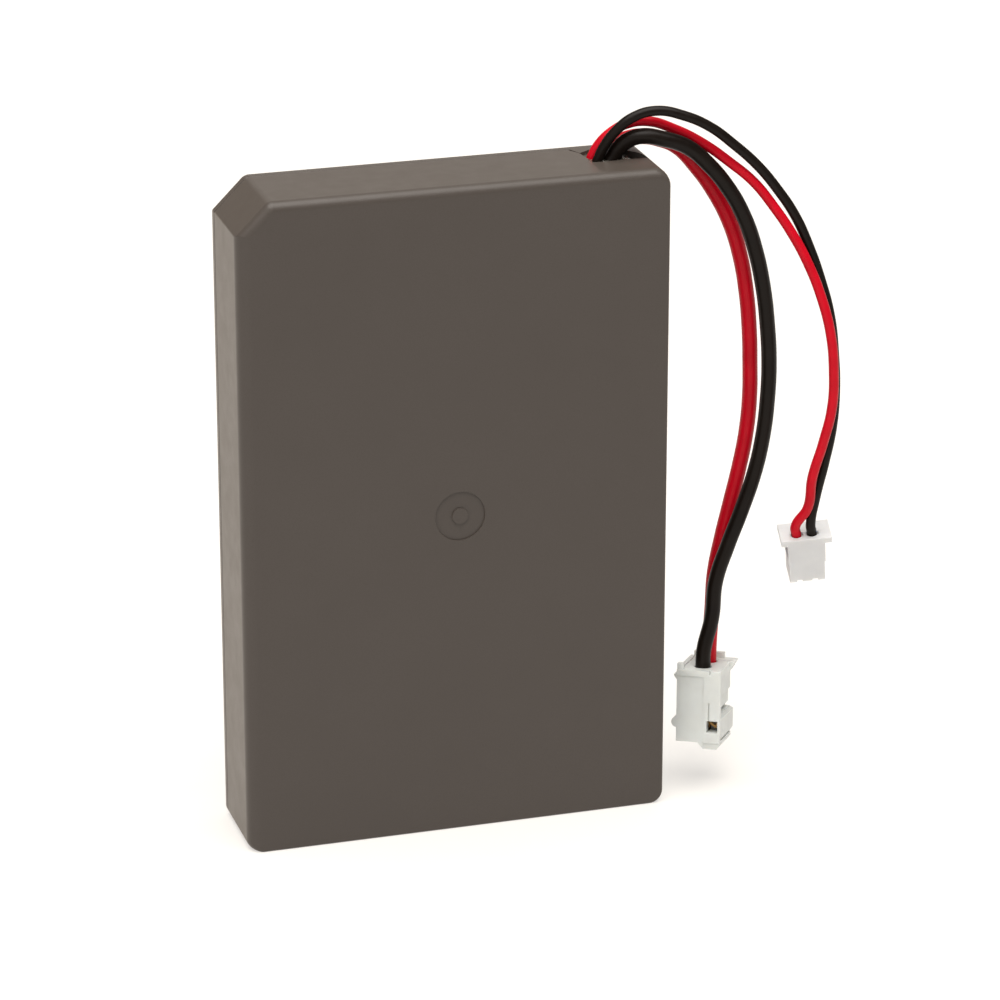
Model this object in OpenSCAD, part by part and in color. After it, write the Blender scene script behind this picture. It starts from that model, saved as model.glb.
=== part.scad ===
// Rechargeable battery pack for a handheld controller: a flat moulded case around one
// lithium-ion pouch cell and its protection board, with two pairs of short leads that end
// in two-pole crimp plugs. It stands on its short end. The front face looks along -Y.

/* [Case] */
// Width of the case, side to side
case_w = 34.5; // [34.5:0.5:37]
// Height of the case, standing on its short end
case_h = 53.5; // [53.5:0.5:56]
// Thickness of the case, front to back
case_d = 8.2; // [8.2:0.1:8.6]
// Wall thickness of the front shell
wall = 0.9; // [0.8:0.05:0.9]
// Thickness of the rear cover plate
cover_t = 0.8; // [0.7:0.05:0.8]
// Size of the cut corner
chamfer = 2.6; // [2:0.1:3.2]
// Radius of the three round corners
corner_r = 1.2; // [1.1:0.1:1.6]
// Radius along the front edges
front_r = 0.9; // [0.4:0.1:0.9]
// Diameter of the round mould gate mark on the front
gate_d = 4.1; // [3:0.1:6]
// Height of the locating lip inside the rear cover
lip_h = 1.2; // [0.6:0.1:1.2]

/* [Cell] */
// Width of the pouch cell
cell_w = 31; // [28:0.5:31]
// Height of the pouch cell below its sealed terrace
cell_h = 43.5; // [38:0.5:43.5]
// Thickness of the laminate of the pouch
foil_t = 0.15; // [0.12:0.01:0.2]
// Width of each current tab
tab_w = 4; // [2:0.5:5]

/* [Protection board] */
// Length of the board
board_w = 21; // [20.5:0.5:21.5]
// Height of the board
board_h = 3.8; // [3.7:0.1:4.2]
// Thickness of the board
board_t = 0.6; // [0.5:0.1:0.6]

/* [Leads and plugs] */
// Outer diameter of the wires of the main leads
main_wire_d = 1.25; // [1:0.05:1.25]
// Outer diameter of the wires of the second leads
second_wire_d = 0.8; // [0.6:0.05:0.8]
// Distance between the two poles of the main plug
main_pitch = 2; // [2:0.1:2.2]
// Distance between the two poles of the second plug
second_pitch = 1.25; // [1.25:0.05:1.3]

/* [Hidden] */

$fn = 48;
slack = 0.05;
over = 1;
inner_r = 0.3;

// Colours
shell_colour = "#5b5550";
red_colour = "#b3122a";
black_colour = "#1b1817";
ivory_colour = "#d8d6cc";
nylon_colour = "#dcd9d4";
metal_colour = "#b9a47a";
nickel_colour = "#b8b5ae";
foil_colour = "#c9cbcd";

// Planes of the case, front to back
front_y = -case_d / 2;
back_y = case_d / 2;
parting_y = back_y - cover_t;

// The leads were routed on a case this wide and this tall, and move with its top corner
routed_w = 34.5;
routed_h = 53.5;
lead_shift = [(case_w - routed_w) / 2, 0, case_h - routed_h];

// Cell: it stands on the rear cover's lip, a little above the bottom wall
cell_z = wall + 0.8;
cell_top = cell_z + cell_h;
cell_front_y = front_y + wall + 0.5;
cell_back_y = parting_y - 0.7;
cell_corner_r = 0.8;
terrace_h = 1.2;
terrace_t = 0.5;
tab_t = 0.15;
tab_y = cell_back_y - 0.25;
tab_x = [lead_shift.x - 7, lead_shift.x + 2];
sealant_w = tab_w + 1.2;
sealant_t = 0.35;
sealant_rise = 0.2;

// Board: it stands upright above the cell, with its parts on the front side
board_x = lead_shift.x - 12;
board_z = case_h - 7.2;
board_y = 0.9;
board_back = board_y + board_t;
weld_t = 0.2;
weld_h = 3;
leg_w = 0.35;
leg_t = 0.15;

// Exit notch in the top wall, near the right-hand end
notch_left = 11.95;
notch_right = 15.4;
notch_front = 0.2;
notch_back = 3.1;
shelf_drop = 0.25;
shelf_left = 11.85;
shelf_front = front_y + front_r - 0.1;
shelf_back = 0.25;
shelf_r = 0.8;
groove_depth = 0.6;

// Plugs: the middle of the wire side, then turns about Z, X and Y
main_plug_at = [22.25, 0.1, 9.9];
main_plug_turn = [57.5, -2, 9];
main_plug_w = 5.2;
main_plug_t = 3.6;
main_plug_h = 6;
second_plug_at = [29.5, -2.6, 21.7];
second_plug_turn = [-11, 16, -5];
second_flange = [4.1, 2.4, 0.5];
second_body = [3, 2.35, 3.7];
// The second plug's row of wires stands nearer its front than its back
second_row = [-0.1, -0.38];
main_wire_in = 0.5;
second_wire_in = 0.4;

// Turns a point about Y, then X, then Z, as a plug is turned
function about_y(p, a) = [p.x * cos(a) + p.z * sin(a), p.y, p.z * cos(a) - p.x * sin(a)];
function about_x(p, a) = [p.x, p.y * cos(a) - p.z * sin(a), p.y * sin(a) + p.z * cos(a)];
function about_z(p, a) = [p.x * cos(a) - p.y * sin(a), p.x * sin(a) + p.y * cos(a), p.z];
function on_plug(at, turn, p) = at + about_z(about_x(about_y(p, turn[2]), turn[1]), turn[0]);

// Routes of the four free leads, from the notch to a point just inside each plug
main_red_route = [
    [14.1, 2.3, 53], [14.31, 2.2825, 53.28], [14.8, 2.25, 53.94], [15.8, 2.15, 54.37], [16.9, 1.95, 54.48], [18.04, 1.7, 54.27],
    [19.5, 1.5, 53.6], [21.1, 1.4, 51.9], [22.7, 1.3, 49.6], [24, 1.2, 47], [24.9, 1.2, 44.2],
    [25.5, 1.3, 41.2], [25.9, 1.5, 38], [26.1, 1.7, 35], [26.2, 1.9, 32], [26, 2, 29],
    [25.5, 2.1, 26], [24.8, 2.1, 23], [24.1, 2.1, 20], [23.5, 2, 17], [23.2, 1.6, 14],
    on_plug(main_plug_at, main_plug_turn, [main_pitch / 2, 0, 1.2]),
    on_plug(main_plug_at, main_plug_turn, [main_pitch / 2, 0, -main_wire_in]),
];
main_black_route = [
    [13.9, 1, 53], [14.11, 0.965, 53.28], [14.47, 0.88, 53.9], [15.3, 0.6, 54.7], [16.32, 0.2, 55.03], [17.75, -0.1, 54.79],
    [19.8, -0.3, 54], [21.4, -0.5, 52.6], [23.1, -0.6, 50.5], [24.5, -0.6, 48], [25.5, -0.5, 45.3],
    [26.3, -0.4, 42], [26.8, -0.2, 38.8], [27.1, 0, 35.5], [27.1, 0.2, 32.2], [26.8, 0.3, 29],
    [26.2, 0.4, 26], [25.2, 0.4, 23], [24.05, 0.4, 20], [22.98, 0.2, 17], [22.6, -0.1, 14],
    on_plug(main_plug_at, main_plug_turn, [-main_pitch / 2, 0, 1.2]),
    on_plug(main_plug_at, main_plug_turn, [-main_pitch / 2, 0, -main_wire_in]),
];
second_red_route = [
    [12.5, 1.5, 53.1], [12.62, 1.5, 53.4], [13.05, 1.5, 54.15], [14.05, 1.4, 55.15], [15.4, 1.2, 55.85], [17, 1, 55.95],
    [19.1, 0.8, 55.2], [21.3, 0.3, 54], [23.3, -0.4, 52.5], [25, -1.3, 51], [26.5, -2, 49],
    [27.8, -2.7, 46.9], [29, -3.4, 44.4], [29.9, -4, 41.8], [30.5, -4.6, 39], [30.7, -5, 36],
    [30.6, -5.1, 33], [30.01, -4.9, 30], [29.32, -4.5, 27], [29.22, -3.9, 24.2],
    on_plug(second_plug_at, second_plug_turn, [second_row.x - second_pitch / 2 - 0.08, second_row.y - 0.03, 0.8]),
    on_plug(second_plug_at, second_plug_turn, [second_row.x - second_pitch / 2, second_row.y, 0.05]),
    on_plug(second_plug_at, second_plug_turn, [second_row.x - second_pitch / 2, second_row.y, -second_wire_in]),
];
second_black_route = [
    [12.7, 0.65, 53.1], [13.2, 0.6, 54.2], [14.2, 0.4, 55.6], [15.6, 0.2, 56.65], [17.4, 0, 57.03],
    [19.4, -0.4, 56.6], [21.5, -0.7, 55.6], [23.4, -1.1, 54.1], [25.2, -1.5, 52.4], [26.8, -1.8, 50.4],
    [28.2, -2.2, 48.2], [29.3, -2.5, 45.7], [30.2, -2.9, 43], [30.9, -3.4, 40], [31.2, -3.7, 37],
    [31.3, -3.9, 34], [31.1, -4, 31], [30.58, -3.9, 28], [30.02, -3.5, 24.8],
    on_plug(second_plug_at, second_plug_turn, [second_row.x + second_pitch / 2 - 0.08, second_row.y - 0.03, 0.9]),
    on_plug(second_plug_at, second_plug_turn, [second_row.x + second_pitch / 2, second_row.y, 0.05]),
    on_plug(second_plug_at, second_plug_turn, [second_row.x + second_pitch / 2, second_row.y, -second_wire_in]),
];

// Routes of the held ends of the same wires, from the board to the notch
main_red_tail = [
    [8.2, 2.15, 47.6], [9.8, 2.15, 47.6], [11.2, 2.3, 48.3], [12.4, 2.45, 49.6], [13.1, 2.45, 51],
    [13.5, 2.35, 52.2], [14.1, 2.3, 53],
];
main_black_tail = [
    [8.2, 0.25, 47.2], [9.7, 0.25, 47.2], [11.1, 0.4, 47.8], [12.1, 0.7, 48.9], [12.6, 1, 50],
    [12.9, 1.1, 51.2], [13.3, 1.1, 52.2], [13.9, 1, 53],
];
second_red_tail = [
    [8.2, 0.48, 49.4], [9.5, 0.48, 49.4], [10.8, 0.85, 50.1], [11.8, 1.46, 51.3], [12.18, 1.5, 52.3],
    [12.5, 1.5, 53.1],
];
second_black_tail = [
    [8.2, 0.48, 48.3], [9.8, 0.48, 48.3], [11.2, 0.3, 49.3], [11.9, 0.35, 50.8], [12.2, 0.7, 52],
    [12.7, 0.65, 53.1],
];

// Frames carried along a route without twist
function unit(v) = v / norm(v);
function heading(p, i) =
    i == 0 ? unit(p[1] - p[0]) :
    i == len(p) - 1 ? unit(p[i] - p[i - 1]) :
    unit(unit(p[i + 1] - p[i]) + unit(p[i] - p[i - 1]));
function level_with(u, t) = unit(u - (u * t) * t);
function side_at(p, i) = i == 0 ? level_with([0, 1, 0], heading(p, 0)) : level_with(side_at(p, i - 1), heading(p, i));
function ring(p, i, r, n) =
    let (t = heading(p, i), u = side_at(p, i), v = cross(t, u))
    [for (k = [0:n - 1]) p[i] + r * (cos(360 * k / n) * u + sin(360 * k / n) * v)];

// Round cord along a route: one closed solid, with a flat end square to each end of the route
module cord(route, d, sides = 8) {
    last = len(route) - 1;
    points = [for (i = [0:last]) each ring(route, i, d / 2, sides)];
    walls = [
        for (i = [0:last - 1], k = [0:sides - 1])
            let (a = i * sides + k, b = i * sides + (k + 1) % sides)
            each [[a, a + sides, b], [b, a + sides, b + sides]]
    ];
    start_face = [for (k = [0:sides - 1]) k];
    end_face = [for (k = [0:sides - 1]) last * sides + sides - 1 - k];
    translate(lead_shift) polyhedron(points, concat(walls, [start_face, end_face]));
}

// Straight rod between two points
module rod(from, to, d) {
    v = to - from;
    translate(from) rotate([0, acos(v.z / norm(v)), atan2(v.y, v.x)]) cylinder(h = norm(v), d = d);
}

// What is cut away outside an arc of radius r, with the sharp corner at the origin
module corner_waste(r) {
    difference() {
        translate([-over, -over]) square(r + over);
        translate([r, r]) circle(r);
    }
}

// Outline of the case seen from the front, moved inwards by inset
module case_outline(inset) {
    w = case_w - 2 * inset;
    h = case_h - 2 * inset;
    r = max(corner_r - inset, inner_r);
    cut = chamfer - inset * (2 - sqrt(2));
    translate([0, inset]) difference() {
        translate([-w / 2, 0]) square([w, h]);
        translate([-w / 2, 0]) corner_waste(r);
        translate([w / 2, 0]) mirror([1, 0]) corner_waste(r);
        translate([w / 2, h]) rotate(180) corner_waste(r);
        translate([-w / 2, h]) polygon([[-over, -cut - over], [cut + over, over], [-over, over]]);
    }
}

// Slab with the outline of the case between two planes
module slab(y_from, y_to, inset = 0) {
    translate([0, y_to, 0]) rotate([90, 0, 0]) linear_extrude(y_to - y_from) case_outline(inset);
}

// Bars that round the five edges between the walls and a face at y = 0 that looks along -Y
module edge_rounding(r) {
    long = 2 * case_h;
    for (side = [0, 1]) mirror([side, 0, 0]) translate([-case_w / 2, 0, 0])
        linear_extrude(2 * long, center = true) corner_waste(r);
    rotate([90, 0, 90]) linear_extrude(2 * long, center = true) corner_waste(r);
    translate([0, 0, case_h]) mirror([0, 0, 1]) rotate([90, 0, 90])
        linear_extrude(2 * long, center = true) corner_waste(r);
    translate([chamfer / 2 - case_w / 2, 0, case_h - chamfer / 2]) rotate([0, -45, 0]) mirror([0, 0, 1])
        rotate([90, 0, 90]) linear_extrude(long, center = true) corner_waste(r);
}

// Plan of the notch: open to the back, with a slanted left-hand side
module notch_plan() {
    translate([lead_shift.x, 0]) polygon([
        [notch_left, notch_front], [notch_right, notch_front], [notch_right, parting_y + over],
        [notch_left - 0.85, parting_y + over], [notch_left - 0.85, parting_y], [notch_left - 0.2, 2.1],
    ]);
}

// Plan of the cover's tongue, which closes the notch behind the wires
module tongue_plan() {
    translate([lead_shift.x, 0]) polygon([
        [notch_left - 0.15, 2.15], [notch_left + 1.2, notch_back], [notch_right - slack, notch_back],
        [notch_right - slack, parting_y + slack], [notch_left - 0.75, parting_y + slack],
    ]);
}

// Cuts at the notch: the shelf in front of it, the notch and the groove to its right
module notch_cuts() {
    translate([0, 0, case_h - wall - over]) linear_extrude(wall + 2 * over) notch_plan();
    translate([lead_shift.x, 0, case_h - shelf_drop]) linear_extrude(over) {
        translate([shelf_left, shelf_front + shelf_r])
            square([case_w / 2 - shelf_left + over, shelf_back - shelf_front - shelf_r]);
        translate([shelf_left + shelf_r, shelf_front])
            square([case_w / 2 - shelf_left - shelf_r + over, shelf_r + slack]);
        translate([shelf_left + shelf_r, shelf_front + shelf_r]) circle(shelf_r);
    }
    translate([lead_shift.x, 0, case_h - groove_depth]) linear_extrude(over)
        polygon([[notch_right - slack, shelf_back], [16.9, shelf_back], [notch_right, 1.8], [notch_right - slack, 1.8]]);
}

// Ribs inside the front wall that hold the cell down and the board square
module cell_ribs() {
    rib = [4, 2.2, 0.8];
    for (x = [-11, 11]) translate([x - rib.x / 2, front_y + wall - slack, cell_top + slack]) cube(rib);
    post = [1, board_y - slack - front_y - wall, board_h - 1];
    translate([board_x + 0.3, front_y + wall - slack, board_z + 0.5]) cube(post);
}

module front_shell() {
    recess = 0.15;
    dot_d = gate_d / 3;
    color(shell_colour) {
        difference() {
            slab(front_y, parting_y);
            translate([0, front_y, 0]) edge_rounding(front_r);
            slab(front_y + wall, parting_y + over, wall);
            translate([0, front_y + recess, case_h / 2]) rotate([90, 0, 0]) difference() {
                cylinder(h = over, d = gate_d);
                translate([0, 0, -over]) cylinder(h = over + recess * 0.8, d = dot_d);
            }
            notch_cuts();
        }
        cell_ribs();
    }
}

// Flat label with rounded corners, moved outwards by grow
module label_slab(y_from, y_to, grow) {
    w = 26 + 2 * grow;
    h = 30 + 2 * grow;
    translate([-w / 2, y_to, case_h / 2 - h / 2]) rotate([90, 0, 0]) linear_extrude(y_to - y_from) difference() {
        square([w, h]);
        corner_waste(1);
        translate([w, 0]) mirror([1, 0]) corner_waste(1);
        translate([0, h]) mirror([0, 1]) corner_waste(1);
        translate([w, h]) rotate(180) corner_waste(1);
    }
}

module rear_cover() {
    lip_t = 0.6;
    recess = 0.12;
    color(shell_colour) {
        difference() {
            slab(parting_y, back_y);
            translate([0, back_y, 0]) mirror([0, 1, 0]) edge_rounding(0.3);
            label_slab(back_y - recess, back_y + over, 0.1);
        }
        difference() {
            slab(parting_y - lip_h, parting_y + slack, wall + slack);
            slab(parting_y - lip_h - over, parting_y + over, wall + slack + lip_t);
            translate([lead_shift.x + 10.5, 0, case_h - 3]) cube([5.3, parting_y, 3]);
        }
        translate([0, 0, case_h - wall]) linear_extrude(wall) tongue_plan();
    }
}

module rear_label() {
    color("#2a2a2c") label_slab(back_y - 0.12, back_y - 0.02, 0);
}

// Block with upright rounded edges, from one corner to the other
module pouch_block(low, high, r) {
    size = high - low;
    translate(low) linear_extrude(size.z) difference() {
        square([size.x, size.y]);
        corner_waste(r);
        translate([size.x, 0]) mirror([1, 0]) corner_waste(r);
        translate([0, size.y]) mirror([0, 1]) corner_waste(r);
        translate([size.x, size.y]) rotate(180) corner_waste(r);
    }
}

// Space taken up by the sealant round each tab
module sealant_blocks() {
    for (x = tab_x) translate([x - sealant_w / 2, cell_back_y - sealant_t, cell_top - foil_t - slack])
        cube([sealant_w, sealant_t, terrace_h + foil_t + slack + sealant_rise]);
}

// Deep-drawn half of the pouch, with its sealed terrace on top
module pouch_cup() {
    low = [-cell_w / 2, cell_front_y, cell_z];
    high = [cell_w / 2, cell_back_y, cell_top];
    inset = [foil_t, foil_t, foil_t];
    color(foil_colour) difference() {
        union() {
            pouch_block(low, high, cell_corner_r);
            translate([-cell_w / 2, cell_back_y - terrace_t, cell_top - slack])
                cube([cell_w, terrace_t, terrace_h + slack]);
        }
        translate(low + inset) cube([cell_w - 2 * foil_t, high.y - low.y, cell_h - 2 * foil_t]);
        sealant_blocks();
    }
}

module pouch_back_sheet() {
    color(foil_colour) translate([-cell_w / 2, cell_back_y, cell_z])
        cube([cell_w, foil_t, cell_h + terrace_h]);
}

// Wound electrodes and separator, rounded at both long sides
module electrode_stack() {
    gap = foil_t + 0.1;
    low = [-cell_w / 2 + gap, cell_front_y + gap, cell_z + gap];
    high = [cell_w / 2 - gap, cell_back_y - gap, cell_top - gap - 0.4];
    color("#3b3d40") pouch_block(low, high, 1.6);
}

// Tab that rises from the stack, steps forward over the terrace and lies on its weld plate
module tab(x) {
    low = cell_top - foil_t - 0.5;
    step = board_z + 0.4;
    plate_y = board_back + weld_t;
    top = board_z + weld_h;
    profile = [
        [tab_y, low], [tab_y, step], [plate_y, step + 0.9], [plate_y, top],
        [plate_y + tab_t, top], [plate_y + tab_t, step + 0.9], [tab_y + tab_t, step], [tab_y + tab_t, low],
    ];
    translate([x - tab_w / 2, 0, 0]) rotate([90, 0, 90]) linear_extrude(tab_w) polygon(profile);
}

module positive_tab() {
    color("#cfd1d3") tab(tab_x[0]);
}

module negative_tab() {
    color(nickel_colour) tab(tab_x[1]);
}

module tab_sealant() {
    color("#e9dfc4") difference() {
        sealant_blocks();
        for (x = tab_x) translate([x - tab_w / 2, tab_y, cell_z]) cube([tab_w, tab_t, case_h]);
    }
}

module cell_front_pad() {
    pad = [24, cell_front_y - front_y - wall, 32];
    color("#2c2d2f") translate([-pad.x / 2, front_y + wall, cell_z + 5]) cube(pad);
}

module cell_rear_tapes() {
    tape = [6, parting_y - cell_back_y - foil_t, 34];
    color("#e8e6df") for (x = [-9, 9])
        translate([x - tape.x / 2, cell_back_y + foil_t, cell_z + 4]) cube(tape);
}

module protection_board() {
    color("#1f6b43") translate([board_x, board_y, board_z]) cube([board_w, board_t, board_h]);
}

module board_pad() {
    color("#2c2d2f") translate([board_x + 1, board_y, cell_top]) cube([14, board_t, board_z - cell_top]);
}

module board_insulator() {
    color("#d9c27a") translate([board_x - 1, parting_y - 0.15, board_z - 0.4]) cube([18, 0.15, 4.6]);
}

module weld_plates() {
    color(nickel_colour) for (x = tab_x)
        translate([x - tab_w / 2, board_back, board_z + 0.3]) cube([tab_w, weld_t, weld_h]);
}

// Moulded chip on the board's front side with a row of legs above and below
module chip(x, size, legs) {
    middle = board_z + board_h / 2;
    pitch = size.x / (legs + 0.5);
    color("#232325") translate([x, board_y - size.y, middle - size.z / 2]) cube(size);
    color(nickel_colour) for (i = [0:legs - 1], side = [0, 1])
        translate([x + pitch * (i + 0.75) - leg_w / 2, board_y - leg_t, middle])
            mirror([0, 0, side]) translate([0, 0, size.z / 2 - slack]) cube([leg_w, leg_t, 0.4 + slack]);
}

module protection_ic() {
    chip(board_x + 3, [2.9, 1.1, 1.6], 3);
}

module power_switch() {
    chip(board_x + 8.6, [3, 1, 2.4], 4);
}

// Small chip part with a metal cap at each end
module end_capped(x, z, size, body_colour) {
    cap = size.x / 5;
    color(body_colour) translate([x + cap, board_y - size.y, z]) cube([size.x - 2 * cap, size.y, size.z]);
    color(nickel_colour) for (dx = [0, size.x - cap])
        translate([x + dx, board_y - size.y, z]) cube([cap, size.y, size.z]);
}

module chip_resistors() {
    for (z = [0.5, 2.3]) end_capped(board_x + 13.2, board_z + z, [1.6, 0.5, 0.8], "#1d1d1f");
}

module chip_capacitor() {
    end_capped(board_x + 15.6, board_z + 1.5, [1.6, 0.8, 0.8], "#a8876a");
}

// Bare end of a wire and the drop of solder that holds it on the board
module solder_joint(end, d, face_y) {
    pad_x = end.x - 0.8;
    side = end.y < face_y ? -1 : 1;
    translate(lead_shift) {
        rod([pad_x, end.y, end.z], end, d / 2);
        intersection() {
            translate([pad_x, face_y, end.z]) sphere(d / 2 + 0.02);
            translate([pad_x - d, face_y - (side < 0 ? d : 0), end.z - d]) cube([2 * d, d, 2 * d]);
        }
    }
}

module solder_joints() {
    color(nickel_colour) {
        solder_joint(main_red_tail[0], main_wire_d, board_back);
        solder_joint(main_black_tail[0], main_wire_d, board_y);
        solder_joint(second_red_tail[0], second_wire_d, board_y);
        solder_joint(second_black_tail[0], second_wire_d, board_y);
    }
}

// Clear sealant in the notch round the four wires
module exit_sealant() {
    floor_z = case_h - wall + 0.05;
    color("#e6e2d8") difference() {
        translate([0, 0, floor_z]) linear_extrude(0.55) difference() {
            intersection() {
                notch_plan();
                translate([lead_shift.x + notch_left - 2, notch_front]) square([6, notch_back - notch_front]);
            }
            tongue_plan();
        }
        translate(lead_shift) {
            wire_hole(main_red_route, main_wire_d);
            wire_hole(main_black_route, main_wire_d);
            wire_hole(second_red_route, second_wire_d);
            wire_hole(second_black_route, second_wire_d);
        }
    }
}

// Straight hole along the first stretch of a route, carried back into the case
module wire_hole(route, d) {
    v = unit(route[1] - route[0]);
    rod(route[0] + 2 * v, route[0] - v, d);
}

module main_tail_red() {
    color(red_colour) cord(main_red_tail, main_wire_d);
}

module main_tail_black() {
    color(black_colour) cord(main_black_tail, main_wire_d);
}

module second_tail_red() {
    color(red_colour) cord(second_red_tail, second_wire_d);
}

module second_tail_black() {
    color(black_colour) cord(second_black_tail, second_wire_d);
}

module main_lead_red() {
    color(red_colour) cord(main_red_route, main_wire_d);
}

module main_lead_black() {
    color(black_colour) cord(main_black_route, main_wire_d);
}

module second_lead_red() {
    color(red_colour) cord(second_red_route, second_wire_d);
}

module second_lead_black() {
    color(black_colour) cord(second_black_route, second_wire_d);
}

// Places a plug drawn with its wire side up, at the origin
module placed(at, turn) {
    translate(at + lead_shift) rotate([0, 0, turn[0]]) rotate([turn[1], 0, 0]) rotate([0, turn[2], 0])
        children();
}

// Box between two corners
module block(low, high) {
    translate(low) cube(high - low);
}

// Prism along X between x0 and x1; the outline is given as [y, z]
module bar(x0, x1, outline) {
    translate([x0, 0, 0]) rotate([90, 0, 90]) linear_extrude(x1 - x0) polygon(outline);
}

// Ivory plug: one end faces -x, its narrow side, and the row of poles runs along x
module main_plug_housing() {
    near = -main_plug_w / 2;
    far = main_plug_w / 2 - 0.4;
    half_t = main_plug_t / 2;
    h = main_plug_h;
    cavity = 1.5;
    color(ivory_colour) placed(main_plug_at, main_plug_turn) difference() {
        union() {
            block([near, -1.55, -h], [far, half_t, 0]);
            // Post down the near corner and collar round the top
            block([near, -half_t, -h], [near + 0.5, -1.5, 0]);
            block([near, -half_t + 0.05, -0.72], [far, -1.5, 0]);
            // Catch block low on one wide side
            bar(near + 0.02, far - 0.02, [[-1.5, -3.9], [-1.82, -4.05], [-1.82, -5.5], [-1.5, -5.9]]);
            // Barb near the top and half-round catch on the other wide side
            bar(near + 0.03, far - 0.03, [[1.7, -0.3], [2.08, -0.42], [2.02, -0.62], [1.7, -1.05]]);
            translate([near + 0.04, 1.8, -4.42]) rotate([0, 90, 0]) cylinder(h = far - near - 0.08, r = 0.44);
            // Key below one half of the mating side
            bar(near + 0.05, far - 0.6,
                [[0.13, -h + 0.1], [-0.3, -6.45], [-0.6, -6.55], [-1.4, -6.57], [-1.7, -6.4], [-1.79, -h + 0.1]]);
            // Rim at the far end with its tip, and the wall on the barb's side
            block([far - 0.1, -1, -0.6], [far + 0.4, 1.5, 0.52]);
            block([far - 0.6, -1.85, -0.55], [far + 0.38, half_t, 0.04]);
            bar(far - 1, far + 0.36, [[-1.7, 0.05], [-2.12, 0.03], [-2.05, -0.15], [-1.7, -0.7]]);
            block([near + 0.015, 1.45, -0.3], [far, half_t, 0.3]);
        }
        // Step that leaves a raised band on the end face, slot and window in that band
        block([near - over, -0.42, -h - over], [near + 0.07, 3, -0.5]);
        block([near - over, -0.95, -4.3], [near + 0.3, -0.82, -2.65]);
        block([near - over, -1.62, -5.12], [-0.9, -0.7, -4.15]);
        // Recess above the catch block
        block([near + 0.5, -2.5, -3.88], [far + over, -1.15, -3.5]);
        block([near + 0.9, -2.5, -3.6], [far + over, -1.4, -2.35]);
        // Nick beside the wires in the top edge
        block([near - over, -1.05, -0.35], [near + 0.55, -0.85, over]);
        for (x = [-main_pitch / 2, main_pitch / 2]) {
            translate([x, 0, -2]) cylinder(h = 3, d = main_wire_d + 0.2);
            block([x - cavity / 2, -cavity / 2, -5.4], [x + cavity / 2, cavity / 2, -1.9]);
            block([x - 0.45, -0.45, -9], [x + 0.45, 0.45, -5.3]);
            // Window over the lance of the contact
            block([x - 0.4, -half_t - over, -3.3], [x + 0.4, 0, -2.6]);
        }
    }
}

// Crimp contact: a barrel on the wire above a square box for the pin
module crimp_contact(x, y, top, barrel_d, box, box_h) {
    translate([x, y, top - 1.5]) cylinder(h = 1.5, d = barrel_d);
    difference() {
        translate([x, y, 0]) block([-box / 2, -box / 2, top - 1.4 - box_h], [box / 2, box / 2, top - 1.4]);
        translate([x, y, 0]) block([-box / 4, -box / 4, top - 2 - box_h], [box / 4, box / 4, top - 1.9]);
    }
}

module main_plug_contacts() {
    color(metal_colour) placed(main_plug_at, main_plug_turn)
        for (x = [-main_pitch / 2, main_pitch / 2]) {
            crimp_contact(x, 0, -main_wire_in, main_wire_d, 1.2, 3.4);
            // Bent lance that reaches out of the box; the first pole's shows in the window
            bar(x - 0.25, x + 0.25, [[-0.55, -4.3], [-0.73, -4.3], [-0.73, -4.9], [-0.55, -5.1]]);
        }
    color(metal_colour) placed(main_plug_at, main_plug_turn)
        bar(-1.6, -1.1, [[-0.7, -4.35], [-1.25, -4.75], [-1.4, -4.4], [-1.5, -4.42], [-1.3, -4.95], [-0.7, -4.55]]);
}

module second_plug_housing() {
    f = second_flange;
    b = second_body;
    front = -f.y / 2;
    low = -f.z - b.z;
    cavity = 0.95;
    color(nylon_colour) placed(second_plug_at, second_plug_turn) difference() {
        union() {
            block([-f.x / 2, front, -f.z], [f.x / 2, -front, 0]);
            block([-b.x / 2, front, low], [b.x / 2, front + b.y, -f.z + slack]);
        }
        for (x = [-second_pitch / 2, second_pitch / 2]) translate([x + second_row.x, second_row.y, 0]) {
            translate([0, 0, -1.9]) cylinder(h = 3, d = second_wire_d + 0.14);
            block([-cavity / 2, -cavity / 2, -3.6], [cavity / 2, cavity / 2, -1.8]);
            block([-0.25, -0.25, -6], [0.25, 0.25, -3.5]);
        }
        for (x = [-second_pitch / 2, second_pitch / 2]) {
            // Lead-in notch in the lower front edge
            block([x - 0.22, front - over, low - over], [x + 0.22, front + 0.3, low + 0.16]);
            // Lances show through two windows at the back
            block([x - 0.25, 0, -3], [x + 0.25, -front + over, -2.1]);
        }
        // Sides step in a little below the middle
        for (side = [0, 1]) mirror([side, 0, 0]) block([b.x / 2 - 0.06, front - over, -6], [3, -front + over, -2.4]);
        // Shallow recess in each side
        for (side = [0, 1]) mirror([side, 0, 0]) block([b.x / 2 - 0.1, -0.85, -2.2], [3, 0.85, -0.7]);
    }
}

module second_plug_contacts() {
    color(metal_colour) placed(second_plug_at, second_plug_turn)
        for (x = [-second_pitch / 2, second_pitch / 2])
            crimp_contact(x + second_row.x, second_row.y, -second_wire_in, second_wire_d, 0.8, 1.6);
}

front_shell();
rear_cover();
rear_label();
pouch_cup();
pouch_back_sheet();
electrode_stack();
positive_tab();
negative_tab();
tab_sealant();
cell_front_pad();
cell_rear_tapes();
protection_board();
board_pad();
board_insulator();
weld_plates();
protection_ic();
power_switch();
chip_resistors();
chip_capacitor();
solder_joints();
exit_sealant();
main_tail_red();
main_tail_black();
second_tail_red();
second_tail_black();
main_lead_red();
main_lead_black();
second_lead_red();
second_lead_black();
main_plug_housing();
main_plug_contacts();
second_plug_housing();
second_plug_contacts();
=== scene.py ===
import math

import bmesh
import bpy
from mathutils import Matrix, Vector


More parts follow.
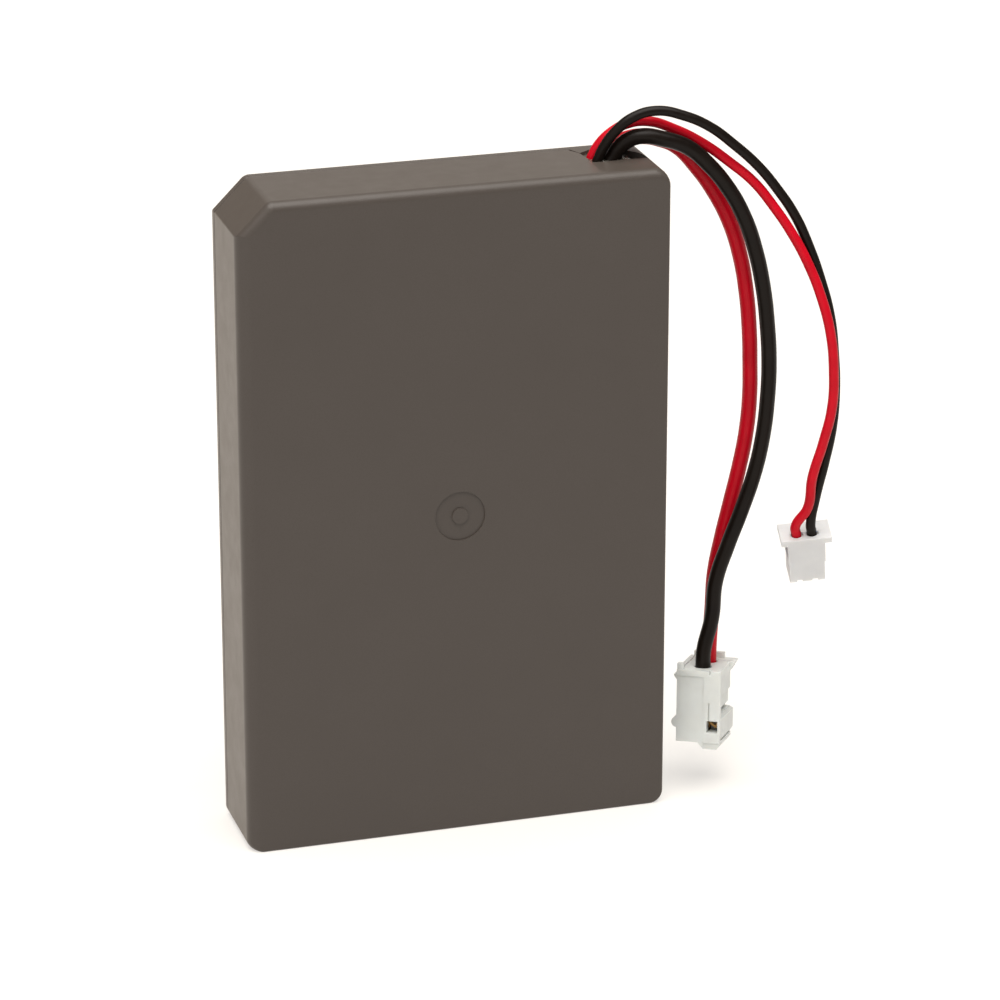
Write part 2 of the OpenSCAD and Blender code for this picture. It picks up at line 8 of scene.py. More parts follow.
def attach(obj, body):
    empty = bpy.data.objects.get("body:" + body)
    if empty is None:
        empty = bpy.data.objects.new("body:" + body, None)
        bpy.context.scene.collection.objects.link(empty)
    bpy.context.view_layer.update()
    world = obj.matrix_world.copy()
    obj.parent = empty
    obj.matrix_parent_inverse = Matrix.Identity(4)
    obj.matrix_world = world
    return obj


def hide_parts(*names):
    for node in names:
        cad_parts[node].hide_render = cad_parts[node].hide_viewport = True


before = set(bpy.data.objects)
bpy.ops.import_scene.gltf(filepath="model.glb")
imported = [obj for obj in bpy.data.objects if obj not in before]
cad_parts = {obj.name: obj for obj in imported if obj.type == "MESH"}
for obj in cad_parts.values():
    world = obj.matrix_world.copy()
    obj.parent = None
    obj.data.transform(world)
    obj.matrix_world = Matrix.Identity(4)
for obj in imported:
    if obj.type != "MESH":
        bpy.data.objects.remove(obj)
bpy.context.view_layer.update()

MM = 0.001
SCENE = bpy.context.scene

# ------------------------------------------------ camera
VIEW_AZIMUTH, VIEW_ELEVATION = math.radians(-16.816), math.radians(20.702)
VIEW_DISTANCE = 356.79 * MM
VIEW_TARGET = Vector((4.652, 0, 26.135)) * MM
VIEW_LENS, VIEW_SENSOR = 162.07, 36


def look(obj, target, azimuth, elevation, distance):
    """Places a camera or light, facing target from azimuth and elevation."""
    back = Vector((
        math.sin(azimuth) * math.cos(elevation),
        -math.cos(azimuth) * math.cos(elevation),
        math.sin(elevation),
    ))
    obj.location = target + back * distance
    obj.rotation_mode = "QUATERNION"
    obj.rotation_quaternion = (-back).to_track_quat("-Z", "Y")
    SCENE.collection.objects.link(obj)


lens = bpy.data.cameras.new("camera")
lens.lens, lens.sensor_width = VIEW_LENS, VIEW_SENSOR
lens.clip_start, lens.clip_end = 0.01, 20
camera = bpy.data.objects.new("camera", lens)
look(camera, VIEW_TARGET, VIEW_AZIMUTH, VIEW_ELEVATION, VIEW_DISTANCE)
SCENE.camera = camera

# ------------------------------------------------ the case and plugs, in millimetres
CASE_W, CASE_H, CASE_D = 34.5, 53.5, 8.2
CHAMFER = 2.6
FRONT, BACK = -CASE_D / 2, CASE_D / 2
COVER_T = 0.8
PARTING = BACK - COVER_T
WALL = 0.9
FRONT_R = 0.9

MAIN_D, SECOND_D = 1.25, 0.8
MAIN_PITCH, SECOND_PITCH = 2.0, 1.25
SECOND_ROW = (-0.1, -0.38)


def placement(at, yaw, lean, roll):
    """From a plug's own millimetres to the row frame's metres."""
    made = Matrix.Scale(MM, 4) @ Matrix.Translation(at)
    for angle, axis in ((yaw, "Z"), (lean, "X"), (roll, "Y")):
        made = made @ Matrix.Rotation(math.radians(angle), 4, axis)
    return made


MAIN_PLUG = placement((22.25, 0.1, 9.9), 57.5, -2, 9)
SECOND_PLUG = placement((29.5, -2.6, 21.7), -11, 16, -5)


def in_metres(points):
    return [Vector(p) * MM for p in points]


# ------------------------------------------------ materials
def socket(node, name, value):
    node.inputs[name].default_value = value


def srgb(code):
    """Linear colour of an sRGB hex code."""
    parts = [int(code[i:i + 2], 16) / 255 for i in (0, 2, 4)]
    return [c / 12.92 if c <= 0.04045 else ((c + 0.055) / 1.055) ** 2.4 for c in parts] + [1]


class Finish:
    """A material grown from noise in the object's own metres."""

    def __init__(self, name, colour, roughness=0.4, metallic=0.0, **sockets):
        self.material = bpy.data.materials.new(name)
        self.material.use_nodes = True
        self.tree = self.material.node_tree
        self.bsdf = self.tree.nodes["Principled BSDF"]
        self.colour = colour
        socket(self.bsdf, "Base Color", colour)
        socket(self.bsdf, "Roughness", roughness)
        socket(self.bsdf, "Metallic", metallic)
        for key, value in sockets.items():
            socket(self.bsdf, key.replace("_", " "), value)
        self.where = self.tree.nodes.new("ShaderNodeTexCoord")
        self.height = None

    def link(self, out, into):
        self.tree.links.new(out, into)

    def noise(self, grain_mm, detail=3.0, rough=0.5, stretch=None):
        node = self.tree.nodes.new("ShaderNodeTexNoise")
        socket(node, "Scale", 1 / (grain_mm * MM))
        socket(node, "Detail", detail)
        socket(node, "Roughness", rough)
        source = self.where.outputs["Object"]
        if stretch:
            mapping = self.tree.nodes.new("ShaderNodeMapping")
            socket(mapping, "Scale", stretch)
            self.link(source, mapping.inputs["Vector"])
            source = mapping.outputs["Vector"]
        self.link(source, node.inputs["Vector"])
        return node.outputs["Fac"]

    def ranged(self, value, low, high, from_low=0.3, from_high=0.7):
        node = self.tree.nodes.new("ShaderNodeMapRange")
        socket(node, "From Min", from_low)
        socket(node, "From Max", from_high)
        socket(node, "To Min", low)
        socket(node, "To Max", high)
        self.link(value, node.inputs["Value"])
        return node.outputs["Result"]

    def varied_colour(self, value, other, low=0.3, high=0.7):
        """Mixes the base colour with another, by a noise."""
        mix = self.tree.nodes.new("ShaderNodeMix")
        mix.data_type = "RGBA"
        self.link(self.ranged(value, 0, 1, low, high), mix.inputs["Factor"])
        source = self.bsdf.inputs["Base Color"]
        if source.is_linked:
            self.link(source.links[0].from_socket, mix.inputs[6])
        else:
            mix.inputs[6].default_value = self.colour
        mix.inputs[7].default_value = other
        self.link(mix.outputs[2], self.bsdf.inputs["Base Color"])
        return self

    def varied_roughness(self, value, low, high):
        self.link(self.ranged(value, low, high), self.bsdf.inputs["Roughness"])
        return self

    def bump(self, value, height_mm, strength=1.0):
        node = self.tree.nodes.new("ShaderNodeBump")
        socket(node, "Strength", strength)
        socket(node, "Distance", height_mm * MM)
        self.link(value, node.inputs["Height"])
        if self.height:
            self.link(self.height, node.inputs["Normal"])
        self.height = node.outputs["Normal"]
        self.link(self.height, self.bsdf.inputs["Normal"])
        return self


def moulded_case():
    f = Finish(
        "case_plastic", srgb("433D39"), roughness=0.4, IOR=1.38,
        Sheen_Weight=0.12, Sheen_Roughness=0.4, Sheen_Tint=(1.0, 0.78, 0.55, 1),
    )
    f.varied_colour(f.noise(9, 3, 0.55), srgb("453F3B"))
    f.varied_colour(f.noise(0.12, 3), srgb("413B36"), 0.45, 0.75)
    f.varied_roughness(f.noise(1.5, 4), 0.37, 0.43)
    f.bump(f.noise(16, 2), 0.02, 0.5)
    f.bump(f.noise(0.09, 3, 0.6), 0.002, 0.5)
    return f.material


def pvc(name, colour, deep, rough=0.36):
    f = Finish(name, srgb(colour), roughness=rough, Specular_IOR_Level=0.14)
    f.varied_colour(f.noise(1.6, 3), srgb(deep))
    f.varied_roughness(f.noise(0.8, 3), rough - 0.06, rough + 0.08)
    f.bump(f.noise(1.4, 2, 0.5), 0.03, 0.5)
    f.bump(f.noise(0.16, 3), 0.003, 0.5)
    return f.material


def nylon(name, colour, warm, clear):
    f = Finish(name, srgb(colour), roughness=0.38, Subsurface_Weight=clear, Subsurface_Scale=0.0012)
    socket(f.bsdf, "Subsurface Radius", (1.0, 0.9, 0.75))
    f.varied_colour(f.noise(1.8, 3), srgb(warm))
    f.varied_roughness(f.noise(0.6, 3), 0.32, 0.46)
    f.bump(f.noise(0.9, 3), 0.01, 0.4)
    f.bump(f.noise(0.07, 3), 0.002, 0.4)
    return f.material


def metal(name, colour, other, rough, stretch=(1, 1, 1)):
    f = Finish(name, srgb(colour), roughness=rough, metallic=1.0)
    f.varied_colour(f.noise(0.7, 3), srgb(other))
    f.varied_roughness(f.noise(0.4, 3, stretch=stretch), rough - 0.08, rough + 0.12)
    f.bump(f.noise(0.05, 2, stretch=stretch), 0.002, 0.4)
    return f.material


def plain(name, colour, other, rough, grain=0.2, height=0.005, **sockets):
    f = Finish(name, srgb(colour), roughness=rough, **sockets)
    f.varied_colour(f.noise(grain * 6, 3), srgb(other))
    f.varied_roughness(f.noise(grain * 3, 3), max(0.05, rough - 0.08), rough + 0.08)
    f.bump(f.noise(grain, 3), height, 0.5)
    return f.material


CASE = moulded_case()
RED = pvc("red_pvc", "BE061E", "B0051A")
BLACK = pvc("black_pvc", "100B08", "150F0B")
IVORY = nylon("ivory_nylon", "CED2D0", "C7CAC8", 0.3)
WHITE = nylon("white_nylon", "CECFD0", "C6C7C9", 0.35)
BRONZE = metal("tinned_bronze", "B08A55", "8A6A40", 0.35)
NICKEL = metal("nickel", "B9B3A6", "A69F90", 0.35, (1, 1, 14))
LABEL = plain("label_film", "26262A", "2D2D31", 0.5, 0.12, 0.003)
SEALANT = plain("clear_sealant", "C9C3B6", "BDB6A8", 0.16, 0.5, 0.02, Transmission_Weight=0.85)

NODE_FINISH = {
    "rear_label": LABEL,
    "pouch_cup": plain("pouch_foil", "B9BCBE", "A9ACAE", 0.4, 0.3, 0.01, Metallic=0.6),
    "electrode_stack": plain("electrode", "3A3D40", "2E3033", 0.6, 0.1),
    "positive_tab": metal("tab_aluminium", "CFD1D3", "BFC1C4", 0.3, (1, 1, 12)),
    "negative_tab": NICKEL,
    "weld_plates": NICKEL,
    "tab_sealant": plain("tab_film", "E3D5AE", "D6C595", 0.3),
    "cell_front_pad": plain("foam", "2B2C2E", "1F2021", 0.9, 0.25, 0.08),
    "cell_rear_tapes": plain("tape", "E3E0D6", "D8D4C6", 0.6, 0.15),
    "protection_board": plain("circuit_board", "1D5F3E", "174F33", 0.3, 0.4, 0.02),
    "board_insulator": plain("insulating_film", "D0B066", "C39F52", 0.3, 0.3),
    "protection_ic": plain("chip_resin", "1E1E20", "262628", 0.55, 0.08),
    "chip_capacitor": plain("chip_ceramic", "A8825E", "967150", 0.5, 0.1),
    "solder_joints": metal("solder", "C9C7C0", "B5B2AA", 0.25),
    "exit_sealant": SEALANT,
    "main_plug_contacts": BRONZE,
    "second_plug_contacts": BRONZE,
    "main_tail_red": RED, "second_tail_red": RED,
    "main_tail_black": BLACK, "second_tail_black": BLACK,
}
NODE_FINISH["pouch_back_sheet"] = NODE_FINISH["pouch_cup"]
NODE_FINISH["board_pad"] = NODE_FINISH["cell_front_pad"]
NODE_FINISH["power_switch"] = NODE_FINISH["chip_resistors"] = NODE_FINISH["protection_ic"]

# ------------------------------------------------ the four free leads
ROUTES = {
    "main_lead_red": [
        (14.1, 2.3, 53), (14.31, 2.2825, 53.28), (14.8, 2.25, 53.94), (15.8, 2.15, 54.37),
        (16.9, 1.95, 54.48), (18.04, 1.7, 54.27), (19.5, 1.5, 53.6), (21.1, 1.4, 51.9),
        (22.7, 1.3, 49.6), (24, 1.2, 47), (24.9, 1.2, 44.2), (25.5, 1.3, 41.2),
        (25.9, 1.5, 38), (26.1, 1.7, 35), (26.2, 1.9, 32), (26, 2, 29), (25.5, 2.1, 26),
        (24.8, 2.1, 23), (24.1, 2.1, 20), (23.5, 2, 17), (23.2, 1.6, 14),
    ],
    "main_lead_black": [
        (13.9, 1, 53), (14.11, 0.965, 53.28), (14.47, 0.88, 53.9), (15.3, 0.6, 54.7),
        (16.32, 0.2, 55.03), (17.75, -0.1, 54.79), (19.8, -0.3, 54), (21.4, -0.5, 52.6),
        (23.1, -0.6, 50.5), (24.5, -0.6, 48), (25.5, -0.5, 45.3), (26.3, -0.4, 42),
        (26.8, -0.2, 38.8), (27.1, 0, 35.5), (27.1, 0.2, 32.2), (26.8, 0.3, 29),
        (26.2, 0.4, 26), (25.2, 0.4, 23), (24.05, 0.4, 20), (22.98, 0.2, 17),
        (22.6, -0.1, 14),
    ],
    "second_lead_red": [
        (12.5, 1.5, 53.1), (12.62, 1.5, 53.4), (13.05, 1.5, 54.15), (14.05, 1.4, 55.15),
        (15.4, 1.2, 55.85), (17, 1, 55.95), (19.1, 0.8, 55.2), (21.3, 0.3, 54),
        (23.3, -0.4, 52.5), (25, -1.3, 51), (26.5, -2, 49), (27.8, -2.7, 46.9),
        (29, -3.4, 44.4), (29.9, -4, 41.8), (30.5, -4.6, 39), (30.7, -5, 36),
        (30.6, -5.1, 33), (30.01, -4.9, 30), (29.32, -4.5, 27), (29.22, -3.9, 24.2),
    ],
    "second_lead_black": [
        (12.7, 0.65, 53.1), (13.2, 0.6, 54.2), (14.2, 0.4, 55.6), (15.6, 0.2, 56.65),
        (17.4, 0, 57.03), (19.4, -0.4, 56.6), (21.5, -0.7, 55.6), (23.4, -1.1, 54.1),
        (25.2, -1.5, 52.4), (26.8, -1.8, 50.4), (28.2, -2.2, 48.2), (29.3, -2.5, 45.7),
        (30.2, -2.9, 43), (30.9, -3.4, 40), (31.2, -3.7, 37), (31.3, -3.9, 34),
        (31.1, -4, 31), (30.58, -3.9, 28), (30.02, -3.5, 24.8),
    ],
}
LEAD_ENDS = {
    "main_lead_red": (MAIN_PLUG, [(1, 0, 1.2), (1, 0, -0.5)]),
    "main_lead_black": (MAIN_PLUG, [(-1, 0, 1.2), (-1, 0, -0.5)]),
    "second_lead_red": (
        SECOND_PLUG, [(-0.805, -0.41, 0.8), (-0.725, -0.38, 0.05), (-0.725, -0.38, -0.4)],
    ),
    "second_lead_black": (
        SECOND_PLUG, [(0.445, -0.41, 0.9), (0.525, -0.38, 0.05), (0.525, -0.38, -0.4)],
    ),
}
LEADS = {}
for name, route in ROUTES.items():
    plug, last = LEAD_ENDS[name]
    points = in_metres(route) + [plug @ Vector(p) for p in last]
    curve = bpy.data.curves.new(name + "_insulation", "CURVE")
    curve.dimensions = "3D"
    curve.bevel_depth = (MAIN_D if name.startswith("main") else SECOND_D) / 2 * MM
    curve.bevel_resolution, curve.resolution_u, curve.use_fill_caps = 6, 10, True
    spline = curve.splines.new("BEZIER")
    spline.bezier_points.add(len(points) - 1)
    for knot, p in zip(spline.bezier_points, points):
        knot.co = p
        knot.handle_left_type = knot.handle_right_type = "AUTO"
    lead = bpy.data.objects.new(name + "_insulation", curve)
    SCENE.collection.objects.link(lead)
    curve.materials.append(RED if name.endswith("red") else BLACK)
    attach(lead, "root")
    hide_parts(name)
    LEADS[name] = (lead, points)


# ------------------------------------------------ mesh tools
# Every mesh is in millimetres until settle() puts it into metres
def raw_object(name, verts, faces):
    mesh = bpy.data.meshes.new(name)
    mesh.from_pydata([tuple(v) for v in verts], [], faces)
    obj = bpy.data.objects.new(name, mesh)
    SCENE.collection.objects.link(obj)
    bm = bmesh.new()
    bm.from_mesh(mesh)
    bmesh.ops.recalc_face_normals(bm, faces=bm.faces)
    bm.to_mesh(mesh)
    bm.free()
    return obj


def prism(name, outline, low, high, axis="z"):
    """Closed prism of a 2D outline, along axis: x takes (y, z), y (x, z) and z (x, y)."""
    def at(p, h):
        return {"x": (h, p[0], p[1]), "y": (p[0], h, p[1]), "z": (p[0], p[1], h)}[axis]
    n = len(outline)
    verts = [at(p, low) for p in outline] + [at(p, high) for p in outline]
    faces = [tuple(range(n)), tuple(range(n, 2 * n))]
    faces += [(i, (i + 1) % n, n + (i + 1) % n, n + i) for i in range(n)]
    return raw_object(name, verts, faces)


def block(low, high):
    (x0, y0, z0), (x1, y1, z1) = low, high
    return prism("block", [(x0, y0), (x1, y0), (x1, y1), (x0, y1)], z0, z1)


def arc(cx, cy, r, start, end, steps):
    return [
        (cx + r * math.cos(math.radians(start + (end - start) * i / steps)),
         cy + r * math.sin(math.radians(start + (end - start) * i / steps)))
        for i in range(steps + 1)
    ]


def disc(cx, cy, r, low, high, axis="z", steps=48):
    return prism("disc", arc(cx, cy, r, 0, 360 - 360 / steps, steps - 1), low, high, axis)


def bake_modifiers(obj):
    made = bpy.data.meshes.new_from_object(obj.evaluated_get(bpy.context.evaluated_depsgraph_get()))
    obj.modifiers.clear()
    obj.data = made


def combine(obj, others, operation):
    """Boolean of obj with each of the others in turn, which are used up."""
    for other in others:
        step = obj.modifiers.new("boolean", "BOOLEAN")
        step.operation, step.object, step.solver = operation, other, "EXACT"
        bpy.context.view_layer.update()
        bake_modifiers(obj)
        bpy.data.objects.remove(other)
    return obj


MERGE_DIST, SLIVER_DIST = 0.004, 0.002
FLAT_ANGLE = math.radians(0.5)


def tidy(obj):
    """Merges what the booleans leave: doubled points, slivers and split flat faces."""
    bm = bmesh.new()
    bm.from_mesh(obj.data)
    bmesh.ops.remove_doubles(bm, verts=bm.verts, dist=MERGE_DIST)
    bmesh.ops.dissolve_degenerate(bm, dist=SLIVER_DIST, edges=bm.edges)
    bmesh.ops.dissolve_limit(
        bm, angle_limit=FLAT_ANGLE, verts=bm.verts, edges=bm.edges, delimit=set()
    )
    bm.to_mesh(obj.data)
    bm.free()


def soften(obj, width, segments=2, angle=30):
    """Rounds every edge sharper than angle."""
    tidy(obj)
    step = obj.modifiers.new("edges", "BEVEL")
    step.width, step.segments, step.limit_method = width, segments, "ANGLE"
    step.angle_limit = math.radians(angle)
    step.use_clamp_overlap = True
    bpy.context.view_layer.update()
    bake_modifiers(obj)
    return obj


SHARP_ANGLE = math.radians(35)


def settle(obj, name, material, nodes, matrix=None):
    """Finished piece: into metres, shaded, on the root body, standing for its CAD nodes."""
    obj.data.transform(matrix or Matrix.Scale(MM, 4))
    obj.name = obj.data.name = name
    obj.data.materials.clear()
    obj.data.materials.append(material)
    for face in obj.data.polygons:
        face.use_smooth = True
    obj.data.set_sharp_from_angle(angle=SHARP_ANGLE)
    normals = obj.modifiers.new("normals", "WEIGHTED_NORMAL")
    normals.keep_sharp, normals.weight = True, 80
    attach(obj, "root")
    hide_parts(*nodes)
    return obj


# ------------------------------------------------ the case
# Outline seen from the front, anticlockwise from the lower left: each corner, its radius,
# and the radius of the front edge on the side that runs on from it
CORNERS = [
    ((-CASE_W / 2, 0), 0.85, 0.2),
    ((CASE_W / 2, 0), 1.1, 0.3),
    ((CASE_W / 2, CASE_H), 1.25, 0.8),
    ((-CASE_W / 2 + CHAMFER, CASE_H), 0.9, 0.75),
    ((-CASE_W / 2, CASE_H - CHAMFER), 0.25, 1.15),
]
ARC_STEPS = 8


def outline(insets):
    """The case's outline with each side moved inwards, always with the same number of points."""
    count = len(CORNERS)
    corners = [Vector(c[0]) for c in CORNERS]
    made = []
    for i in range(count):
        here, before, after = corners[i], corners[i - 1], corners[(i + 1) % count]
        in0, in1 = insets[i - 1], insets[i]
        d0, d1 = (here - before).normalized(), (after - here).normalized()
        n0, n1 = Vector((-d0.y, d0.x)), Vector((-d1.y, d1.x))
        turn, lean = math.atan2(d0.cross(d1), d0.dot(d1)), n0.dot(n1)
        r = max(CORNERS[i][1] - (in0 + in1) / 2, 0.03)
        # Where the two moved sides meet, then the arc between them
        tip = here + (n0 * (in0 - lean * in1) + n1 * (in1 - lean * in0)) / (1 - lean * lean)
        centre = tip - d0 * r * math.tan(turn / 2) + n0 * r
        start = math.atan2(-n0.y, -n0.x)
        for k in range(ARC_STEPS + 1):
            a = start + turn * k / ARC_STEPS
            made.append((centre.x + r * math.cos(a), centre.y + r * math.sin(a)))
    return made


def loft(name, stations):
    """Closed solid through rings at (y, insets) stations, capped at both ends."""
    rings = [
        [(x, y, z) for x, z in outline(i if isinstance(i, list) else [i] * len(CORNERS))]
        for y, i in stations
    ]
    n = len(rings[0])
    verts = [v for ring in rings for v in ring]
    faces = [
        (r * n + i, r * n + (i + 1) % n, (r + 1) * n + (i + 1) % n, (r + 1) * n + i)
        for r in range(len(rings) - 1) for i in range(n)
    ]
    faces += [tuple(range(n)), tuple(range((len(rings) - 1) * n, len(rings) * n))]
    return raw_object(name, verts, faces)


def front_edge(steps):
    """Stations round the front edge, whose radius differs from side to side."""
    radii = [c[2] for c in CORNERS]
    made = []
    for k in range(steps + 1):
        deep = max(radii) * (1 - math.sin(math.pi / 2 * k / steps))
        made.append((FRONT + deep, [r - math.sqrt(r * r - max(r - deep, 0) ** 2) for r in radii]))
    return made


RIM = 0.07
shell = loft("front_shell_piece", [
    (PARTING, WALL), (PARTING, RIM), (PARTING - RIM, 0), (PARTING - 1, 0), (FRONT + 1.6, 0),
    *front_edge(14),
    (FRONT, 1.7),
])
# The loft's back cap is opened by the cavity
cavity = loft("cavity", [(PARTING + 1, WALL), (FRONT + WALL, WALL)])
GATE_X, GATE_R, GATE_DOT_R, GATE_DEPTH = 0.18, 2.03, 0.64, 0.15
gate = disc(GATE_X, CASE_H / 2, GATE_R, FRONT - 1, FRONT + GATE_DEPTH, "y", 72)
gate_dot = disc(GATE_X, CASE_H / 2, GATE_DOT_R, FRONT - 2, FRONT + GATE_DEPTH + 1, "y", 48)
gate = combine(gate, [gate_dot], "DIFFERENCE")

TOP = CASE_H
NOTCH_LEFT, NOTCH_RIGHT, NOTCH_FRONT, NOTCH_BACK = 11.95, 15.4, 0.2, 3.1
slot = prism("slot", [
    (NOTCH_LEFT, NOTCH_FRONT), (NOTCH_RIGHT, NOTCH_FRONT), (NOTCH_RIGHT, PARTING + 1),
    (NOTCH_LEFT - 0.85, PARTING + 1), (NOTCH_LEFT - 0.85, PARTING), (NOTCH_LEFT - 0.2, 2.1),
], TOP - WALL - 1, TOP + 1)
SHELF_LEFT, SHELF_FRONT, SHELF_R, SHELF_DEPTH = 11.85, FRONT + FRONT_R - 0.1, 0.8, 0.25
shelf = prism("shelf", [
    (SHELF_LEFT, NOTCH_FRONT + 0.05),
    *arc(SHELF_LEFT + SHELF_R, SHELF_FRONT + SHELF_R, SHELF_R, 180, 270, 8),
    (CASE_W / 2 + 1, SHELF_FRONT), (CASE_W / 2 + 1, NOTCH_FRONT + 0.05),
], TOP - SHELF_DEPTH, TOP + 1)
GROOVE_DEPTH = 0.6
groove = prism("groove", [
    (NOTCH_RIGHT - 0.05, 0.25), (16.9, 0.25), (NOTCH_RIGHT, 1.8), (NOTCH_RIGHT - 0.05, 1.8),
], TOP - GROOVE_DEPTH, TOP + 1)
combine(shell, [cavity, gate, slot, shelf, groove], "DIFFERENCE")
soften(shell, 0.05)
settle(shell, "front_shell_piece", CASE, ["front_shell"])

BACK_R = 0.14
cover = loft("rear_cover_piece", [
    (PARTING, RIM + 0.3), (PARTING, RIM), (PARTING + RIM, 0), (BACK - 0.3, 0),
    (BACK - BACK_R, 0), (BACK - BACK_R / 2, BACK_R * 0.13),
    (BACK - BACK_R * 0.13, BACK_R / 2), (BACK, BACK_R),
    (BACK, 0.9),
])
LABEL_W, LABEL_H, LABEL_R = 26.2, 30.2, 1.1


def label_outline(grow=0.0):
    w, h = LABEL_W / 2 + grow, LABEL_H / 2 + grow
    middle = CASE_H / 2
    made = []
    for cx, cz, start in (
        (w - LABEL_R, middle + h - LABEL_R, 0), (-w + LABEL_R, middle + h - LABEL_R, 90),
        (-w + LABEL_R, middle - h + LABEL_R, 180), (w - LABEL_R, middle - h + LABEL_R, 270),
    ):
        made += arc(cx, cz, LABEL_R, start, start + 90, 8)
    return made


label_recess = prism("label_recess", label_outline(), BACK - 0.12, BACK + 1, "y")
combine(cover, [label_recess], "DIFFERENCE")
tongue = prism("tongue", [
    (NOTCH_LEFT - 0.15, 2.15), (NOTCH_LEFT + 1.2, NOTCH_BACK), (NOTCH_RIGHT - 0.05, NOTCH_BACK),
    (NOTCH_RIGHT - 0.05, PARTING + 0.3), (NOTCH_LEFT - 0.75, PARTING + 0.3),
], TOP - WALL, TOP)
combine(cover, [tongue], "UNION")
soften(cover, 0.04)
settle(cover, "rear_cover_piece", CASE, ["rear_cover"])

# ------------------------------------------------ main plug
# The plug's own axes: x along its row, y across it, z out of its wire side.
# The two end faces of the body along x; the boxes that meet on a face stop a little
# short of each other, so that no two faces coincide in the booleans
END, FAR = -2.6, 2.2
housing = block((END, -1.55, -6), (FAR, 1.83, 0))
combine(housing, [
    block((END, -1.8, -6), (END + 0.5, 1.82, -0.01)),
    block((END + 0.01, -1.75, -0.72), (FAR + 0.01, 1.81, -0.02)),
    # Catch block low on one wide side
    prism(
        "catch", [(-1.5, -3.9), (-1.84, -4.05), (-1.84, -5.6), (-1.6, -5.99), (-1.5, -5.99)],
        END + 0.02, FAR - 0.02, "x",
    ),
    # Barb near the top and half-round catch on the other wide side
    prism(
        "barb", [(1.7, -0.3), (2.08, -0.42), (2.02, -0.62), (1.7, -1.05)],
        END + 0.03, FAR - 0.03, "x",
    ),
    disc(1.8, -4.42, 0.44, END + 0.04, FAR - 0.04, "x", 32),
    # Key under one half of the mating side
    prism(
        "key", [(0.13, -5.9), (-0.42, -6.5), (-1.55, -6.52), (-1.79, -6.2), (-1.79, -5.9)],
        END + 0.05, FAR - 0.6, "x",
    ),
    # Rim at the far end, its tip and the post at the near corner
    block((FAR - 0.1, -1.0, -0.6), (FAR + 0.4, 1.5, 0.52)),
    block((FAR - 0.6, -1.85, -0.55), (FAR + 0.38, 1.79, 0.04)),
    prism(
        "tip", [(-1.7, 0.05), (-2.12, 0.03), (-2.05, -0.15), (-1.7, -0.7)],
        FAR - 1.0, FAR + 0.36, "x",
    ),
    block((END + 0.015, 1.3, -0.3), (END + 0.55, 1.8, 0.5)),
    block((END + 0.03, 1.45, -0.3), (FAR, 1.79, 0.14)),
], "UNION")
cuts = [
    # Shallow step that leaves a raised band on the end face
    block((END - 1, -0.42, -7), (END + 0.07, 3, -0.5)),
    # Slot and window in the end face
    block((END - 1, -0.95, -4.3), (END + 0.15, -0.82, -2.65)),
    block((END - 1, -1.62, -5.12), (-0.9, -0.7, -4.15)),
    # Recess above the catch block
    block((END + 0.5, -2.5, -3.88), (FAR + 1, -1.15, -3.5)),
    block((END + 0.9, -2.5, -3.6), (FAR + 1, -1.4, -2.35)),
    # Nick beside the wires in the top edge
    block((END - 1, -1.05, -0.35), (END + 0.55, -0.85, 1)),
]
for x in (-MAIN_PITCH / 2, MAIN_PITCH / 2):
    cuts += [
        disc(x, 0, MAIN_D / 2 + 0.1, -2.2, 1, "z", 40),
        block((x - 0.75, -0.75, -5.4), (x + 0.75, 0.75, -1.9)),
        block((x - 0.45, -0.45, -9), (x + 0.45, 0.45, -5.2)),
    ]
combine(housing, cuts, "DIFFERENCE")
soften(housing, 0.07)
main_housing = settle(
    housing, "main_plug_shell", IVORY, ["main_plug_housing"], MAIN_PLUG
)

# ------------------------------------------------ second plug
small = block((-1.5, -1.2, -4.2), (1.5, 1.15, -0.3))
combine(small, [block((-2.05, -1.205, -0.5), (2.05, 1.2, 0))], "UNION")
cuts = []
for x in (-SECOND_PITCH / 2, SECOND_PITCH / 2):
    u, v = x + SECOND_ROW[0], SECOND_ROW[1]
    cuts += [
        disc(u, v, SECOND_D / 2 + 0.07, -1.9, 1, "z", 32),
        block((u - 0.475, v - 0.475, -3.6), (u + 0.475, v + 0.475, -1.8)),
        block((u - 0.25, v - 0.25, -6), (u + 0.25, v + 0.25, -3.5)),
        # Notch in the lower front edge, window at the back, pocket beside the wire
        block((x - 0.22, -2, -5), (x + 0.22, -0.9, -4.04)),
        block((x - 0.25, 0, -3), (x + 0.25, 3, -2.1)),
        block((u + 0.3, v - 0.25, -0.25), (u + 0.56, v + 0.25, 1)),
    ]
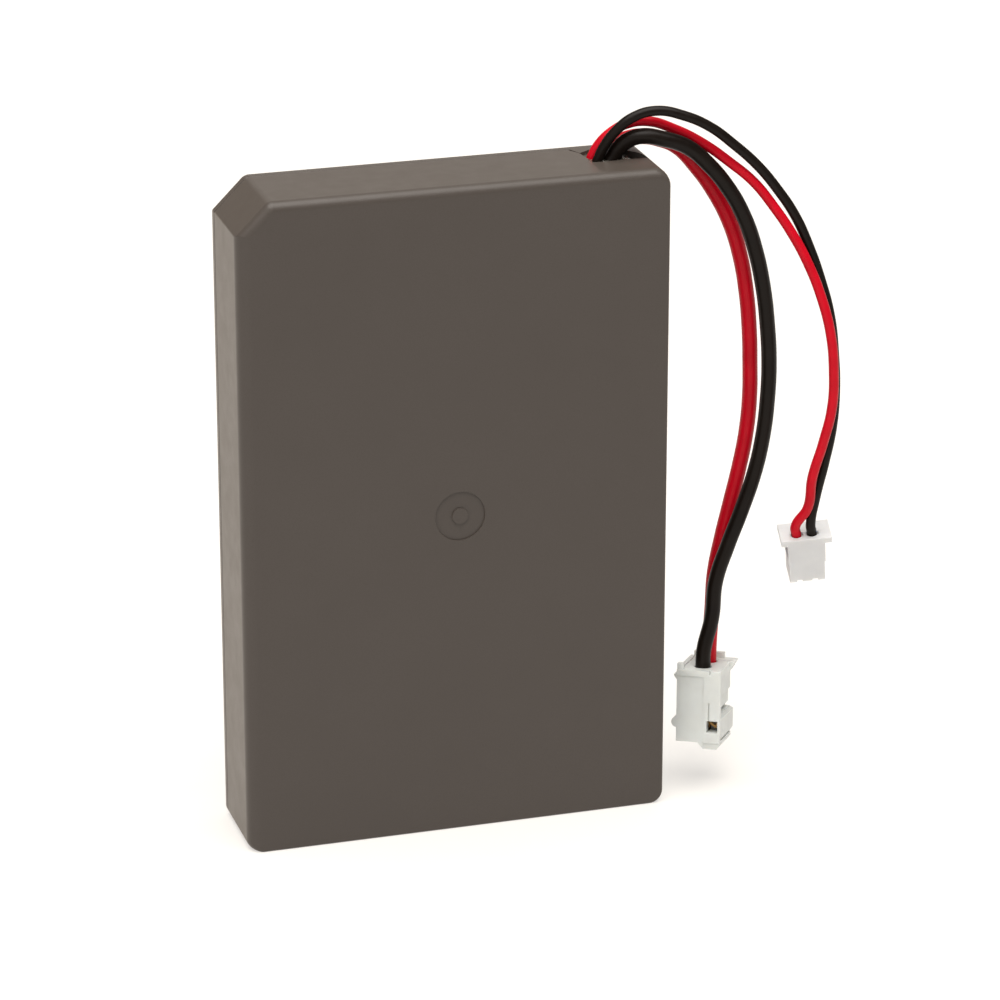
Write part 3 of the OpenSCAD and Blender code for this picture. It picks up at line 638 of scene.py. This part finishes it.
# The sides step in a little below the middle, and have a shallow recess above
for side in (-1, 1):
    low, high = sorted((side * 1.43, side * 3))
    cuts.append(block((low, -2, -5), (high, 2, -2.4)))
    low, high = sorted((side * 1.39, side * 3))
    cuts.append(block((low, -0.85, -2.2), (high, 0.85, -0.7)))
combine(small, cuts, "DIFFERENCE")
soften(small, 0.06)
second_housing = settle(
    small, "second_plug_shell", WHITE, ["second_plug_housing"], SECOND_PLUG
)

# ------------------------------------------------ finishes of the CAD nodes that stay
for name, material in NODE_FINISH.items():
    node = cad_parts[name]
    node.data.materials.clear()
    node.data.materials.append(material)

# ------------------------------------------------ cords
for name, (lead, points) in LEADS.items():
    main = name.startswith("main")
    if main:
        plug = [main_housing, "main_plug_contacts"]
    else:
        plug = [second_housing, "second_plug_contacts"]


# ------------------------------------------------ studio
LIGHT_DISTANCE = 0.9
LIGHT_TARGET = Vector((0, 0, 0.028))


def softbox(name, azimuth, elevation, size, power, colour):
    data = bpy.data.lights.new(name, "AREA")
    data.shape, data.size, data.energy, data.color = "DISK", size, power, colour
    light = bpy.data.objects.new(name, data)
    look(light, LIGHT_TARGET, math.radians(azimuth), math.radians(elevation), LIGHT_DISTANCE)


softbox("overhead", -20, 78, 1.1, 16.5, (1.0, 0.965, 0.92))
softbox("key", -37, 30, 1.2, 2.4, (1.0, 0.97, 0.92))
# Gives the top face its sheen
softbox("back", 163, 26, 0.8, 0.7, (1.0, 0.94, 0.86))

world = bpy.data.worlds.new("studio")
SCENE.world = world
world.use_nodes = True
background = world.node_tree.nodes["Background"]
socket(background, "Color", (1.0, 0.955, 0.9, 1))
socket(background, "Strength", 0.24)

FLOOR = 3.0
floor_mesh = bpy.data.meshes.new("floor")
corners = [(-FLOOR, -FLOOR, 0), (FLOOR, -FLOOR, 0), (FLOOR, FLOOR, 0), (-FLOOR, FLOOR, 0)]
floor_mesh.from_pydata(corners, [], [(0, 1, 2, 3)])
floor = bpy.data.objects.new("floor", floor_mesh)
SCENE.collection.objects.link(floor)
# A pale sheet that also glows evenly, as if lit from below
floor_mesh.materials.append(plain(
    "floor_sheet", "A8A6A2", "A4A29E", 0.7, 3, 0.01,
    Emission_Color=(1.0, 0.97, 0.94, 1), Emission_Strength=0.56,
))

SCENE.view_settings.view_transform = "Standard"
